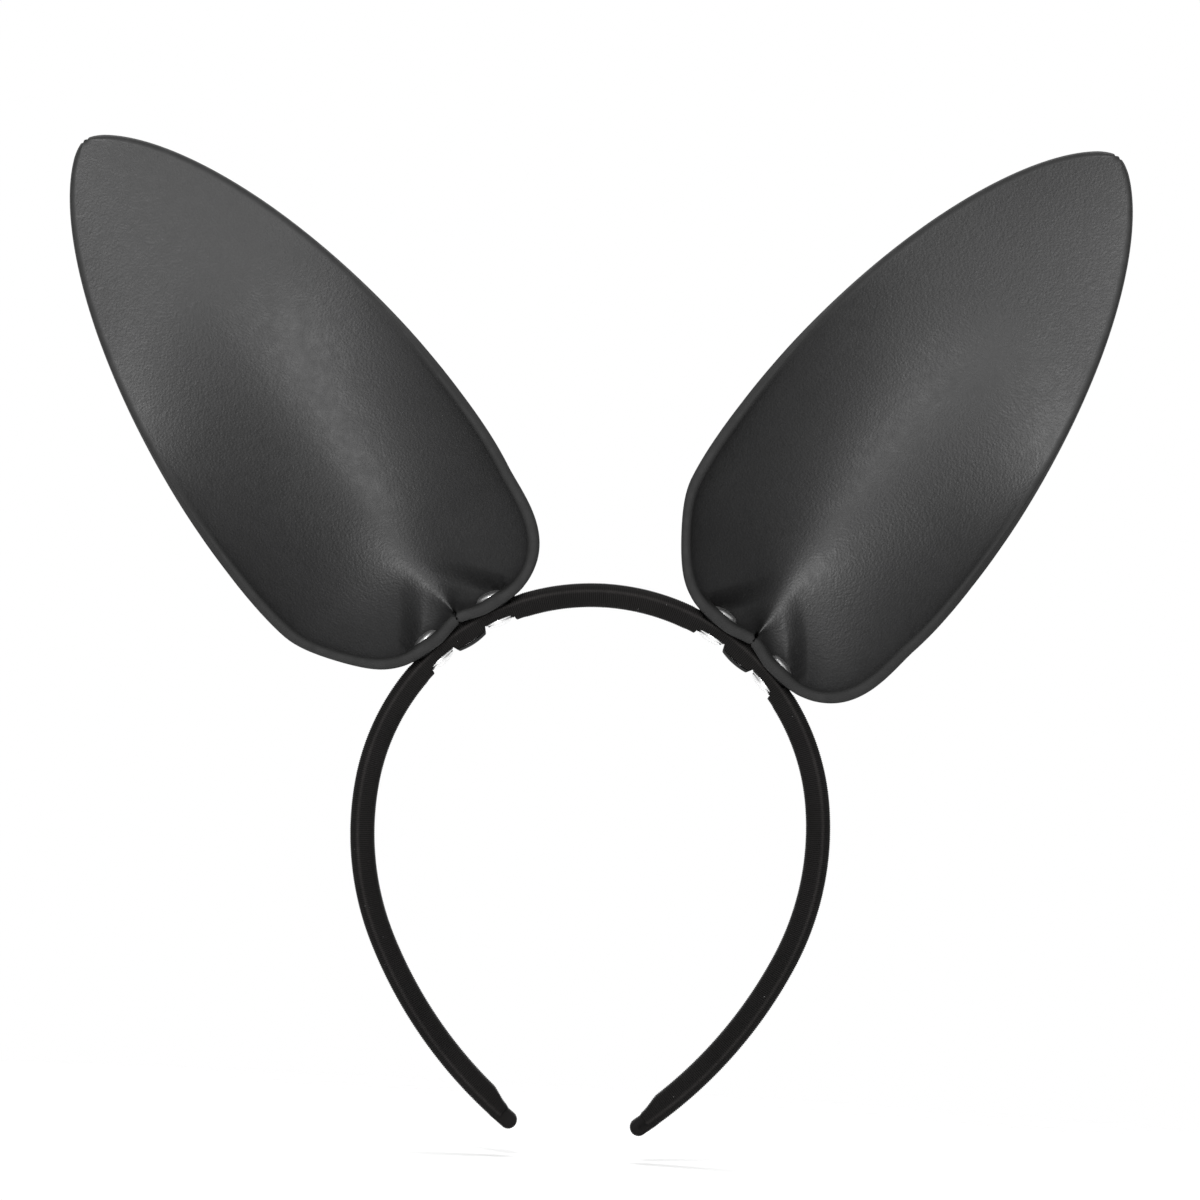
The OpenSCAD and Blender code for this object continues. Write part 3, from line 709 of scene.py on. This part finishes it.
def make_end_tab(side):
    """The fabric folded over the tip: a ribbed tongue, level with the band's outer face."""
    tuck, half_w, end_r = 2.5, BAND_D * 0.43, TAB_T / 2
    points_per_rib, lines_across = 5, 27
    square = 5                         # power that rounds the tongue's side edges
    proud = 0.05                       # by which it stands out of the sleeve's outer face
    straight = TAB_L - end_r + tuck
    girth = 2 * straight + math.pi * end_r
    u = np.linspace(0, girth, int(girth / RIB_PITCH) * points_per_rib)
    out = np.clip(u, 0, straight) - np.clip(u - straight - math.pi * end_r, 0, straight)
    turn = np.clip((u - straight) / end_r, 0, math.pi)
    nx, nz = np.sin(turn), np.cos(turn)
    x = out - tuck + end_r * nx
    z = end_r * nz + BAND_T / 2 - end_r + proud
    crest = np.abs(np.sin(math.pi * u / RIB_PITCH)) ** 0.7
    rings = []
    for v in np.sin(np.linspace(-math.pi / 2, math.pi / 2, lines_across)):
        full = max(0, 1 - abs(v) ** square) ** (1 / square)
        raised = RIB_H * crest * (full > 0.3) - end_r * (1 - full)
        rings.append(np.stack([x + nx * raised, np.full_like(x, v * half_w), z + nz * raised], -1))
    rings = np.array(rings)
    centre, outwards, angle = spine_of_band(HALF_L)
    tangent = np.array([cos(angle), 0, -sin(angle)])
    placed = centre + rings[..., :1] * tangent + rings[..., 1:2] * [0, 1, 0] + rings[..., 2:] * outwards
    rows, cols = rings.shape[:2]
    faces = tube_faces(rows, cols)
    if side == "left":
        faces = [f[::-1] for f in faces]
    tab = piece(f"{side}_folded_tab", mirrored(placed, side), faces, RIBBED, "ribbed_fabric")
    # the crest value gives painted highlights on the tongue's rib crests and painted shade between them
    paint(tab, "crest", np.tile(crest, rows))
    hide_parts(f"{side}_end_tab")
    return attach(tab, f"{side}_arm")


def make_strip(side):
    """The leather strip under an ear's pair of rivets, bowed between them, with round ends."""
    lead = math.degrees(CAP_D / 2 / STRIP_OUT_R)
    inside_cap = 0.1                   # degrees along, and mm across, that it stays inside the caps'
    square = 0.5                       # power that squares its section off
    blunt = 0.995                      # its ends are cut this share of the way to a point
    angle = (RIVET_STEP + lead - inside_cap) * np.sin(np.radians(np.linspace(-90, 90, 241)))
    reach = np.clip((np.abs(angle) - RIVET_STEP) / lead, 0, blunt)
    width = (CAP_D / 2 - inside_cap) * np.sqrt(1 - reach ** 2)
    turn = np.linspace(0, 360, 28, endpoint=False)
    bulge_y = np.sign(cos(turn)) * np.abs(cos(turn)) ** square
    bulge_r = np.sign(sin(turn)) * np.abs(sin(turn)) ** square
    middle = strip_r(angle) - STRIP_T / 2
    r = middle[:, None] + STRIP_T / 2 * bulge_r[None]
    y = width[:, None] * bulge_y[None]
    a = (angle + EAR_AT[side])[:, None]
    rings = np.stack([r * sin(a), y, r * cos(a) - INNER_R], -1)
    faces = tube_faces(*rings.shape[:2])
    strip = piece(f"{side}_strip_leather", rings, faces, STRIP_LEATHER, "strip_leather")
    paint(strip, "edge", np.tile(np.abs(bulge_y) > 0.8, len(angle)))
    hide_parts(f"{side}_backing_strip")
    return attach(strip, "crown")


# ---- the rivets ----

ON_AXIS = 0.01                         # radius of the ring that closes a profile on its axis


def lathe(profile, steps=56):
    """Points of a profile of radius and height turned about Z; both its ends are on the axis."""
    turn = np.linspace(0, 360, steps, endpoint=False)
    r, z = np.array(profile, float).T
    height = np.repeat(z[:, None], steps, 1)
    return np.stack([r[:, None] * cos(turn), r[:, None] * sin(turn), height], -1)


def cap_profile():
    """A domed cap with a small rolled lip, from the middle of its flat side to its crown."""
    rim_r, lip = CAP_D / 2, 0.32
    dome_r, dome_z, dome_pow = rim_r - 0.42, 0.55, 0.9
    roll = [(rim_r - lip + lip * math.cos(t), lip + lip * math.sin(t))
            for t in np.linspace(-math.pi / 2, math.pi * 0.35, 9)]
    dome = [(dome_r * math.cos(t), dome_z + (CAP_H - dome_z) * math.sin(t) ** dome_pow)
            for t in np.linspace(0.06, math.pi / 2, 20)]
    return [(ON_AXIS, 0)] + roll + dome[:-1] + [(ON_AXIS, CAP_H)]


def make_rivet(side, place, step):
    """A cap with its pin in front of the leather, and a post with its cap on the head's side."""
    post_wall, bore_floor, chamfer = 0.6, 0.6, 0.2
    shank = CAP_SEAT_R - POST_SEAT_R
    pin_r, pin_end = POST_D / 2 - post_wall, 1.3 - shank
    bore_r, mouth = pin_r + ROOM, shank - ROOM
    cap = cap_profile()
    pin = [(ON_AXIS, pin_end), (pin_r - chamfer, pin_end), (pin_r, pin_end + chamfer), (pin_r, 0)]
    post = [(r, -z) for r, z in cap[::-1][:-1]]
    barrel = [(POST_D / 2, 0), (POST_D / 2, mouth), (bore_r, mouth), (bore_r, bore_floor),
              (ON_AXIS, bore_floor)]
    for part, profile, r in (("cap", pin + cap[1:], CAP_SEAT_R), ("post", post + barrel, POST_SEAT_R)):
        name = f"{side}_{place}_rivet_{part}"
        rings = at_crown(lathe(profile), EAR_AT[side] + step, r)
        metal = piece(f"{name}_metal", rings, tube_faces(*rings.shape[:2]), NICKEL, "rivet_metal")
        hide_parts(name)
        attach(metal, "crown")


for side in ("left", "right"):
    make_ear(side)
    make_sleeve(side)
    make_padding(side)
    make_spring(side)
    make_end_tab(side)
    make_strip(side)
    inwards = 1 if side == "left" else -1
    make_rivet(side, "upper", RIVET_STEP * inwards)
    make_rivet(side, "lower", -RIVET_STEP * inwards)

# ---- the stage ----

ROLL = math.radians(3.3)               # the headband lies turned this far clockwise in the view
VIEW_WIDTH = 0.3243                    # of the whole picture, as far away as the headband is
AIM = Vector((-0.00095, 0, 0.00184))
DISTANCE = 2.6
ROOM_LIGHT = 0.3                       # of the camera's side, where the side behind has 1
TIP_DROP = 0.0075                      # the floor is this far under the resting tips
FLOOR_R = 0.7
FLOOR_WHOLE, FLOOR_GONE = 0.2, 0.42    # it fades out between these distances from the origin


def make_floor():
    """A pale floor just under the lowest that a flexed tip comes, fading into the background."""
    reach = FLOOR_R * np.linspace(0.02, 1, 24)[:, None, None]
    turn = np.linspace(0, 360, 96, endpoint=False)
    disc = reach * np.stack([cos(turn), sin(turn), np.zeros_like(turn)], -1)
    disc = disc + [0, 0, cad_box[0].z - TIP_DROP]
    rows, cols = disc.shape[:2]
    faces = grid_faces(rows, cols, True) + [list(range(cols))[::-1]]
    m = Nodes("floor")
    m.set(Base_Color=grey(0.9), Roughness=0.8, Specular_IOR_Level=0.2)
    away = m.add("ShaderNodeVectorMath", {0: m.place}, operation="LENGTH").outputs["Value"]
    m.set(Alpha=m.scale(away, FLOOR_WHOLE, FLOOR_GONE, 1.0, 0.0))
    piece("floor", disc / MM, faces, m.material)


def make_light(name, place, size, power):
    """A round soft light that faces the origin."""
    data = bpy.data.lights.new(name, "AREA")
    data.shape, data.size, data.energy = "DISK", size, power
    lamp = bpy.data.objects.new(name, data)
    bpy.context.scene.collection.objects.link(lamp)
    lamp.location = place
    lamp.rotation_euler = (-Vector(place)).to_track_quat("-Z", "Y").to_euler()


def make_camera():
    data = bpy.data.cameras.new("camera")
    data.lens = data.sensor_width * DISTANCE / VIEW_WIDTH
    data.clip_start, data.clip_end = 0.1, 20
    camera = bpy.data.objects.new("camera", data)
    bpy.context.scene.collection.objects.link(camera)
    camera.location = AIM + Vector((0, -DISTANCE, 0))
    camera.rotation_euler = (math.pi / 2, -ROLL, 0)
    bpy.context.scene.camera = camera


def make_world():
    """White behind the headband, and a dim room on the camera's side."""
    world = bpy.data.worlds.new("studio")
    bpy.context.scene.world = world
    world.use_nodes = True
    tree = world.node_tree
    sky = tree.nodes["Background"]
    place = tree.nodes.new("ShaderNodeTexCoord")
    split = tree.nodes.new("ShaderNodeSeparateXYZ")
    fade = tree.nodes.new("ShaderNodeMapRange")
    tree.links.new(place.outputs["Generated"], split.inputs["Vector"])
    tree.links.new(split.outputs["Y"], fade.inputs["Value"])
    for key, value in (("From Min", -0.5), ("From Max", 0.6), ("To Min", ROOM_LIGHT), ("To Max", 1.0)):
        fade.inputs[key].default_value = value
    tree.links.new(fade.outputs["Result"], sky.inputs["Strength"])
    sky.inputs["Color"].default_value = (1, 1, 1, 1)
    bpy.context.scene.view_settings.view_transform = "Standard"


make_floor()
make_light("key", (-0.25, -1.7, 0.95), size=0.9, power=36)
make_light("low_key", (-0.3, -1.65, -0.9), size=0.9, power=28)
make_light("top", (0, 0.5, 1.5), size=1.2, power=12)
make_camera()
make_world()
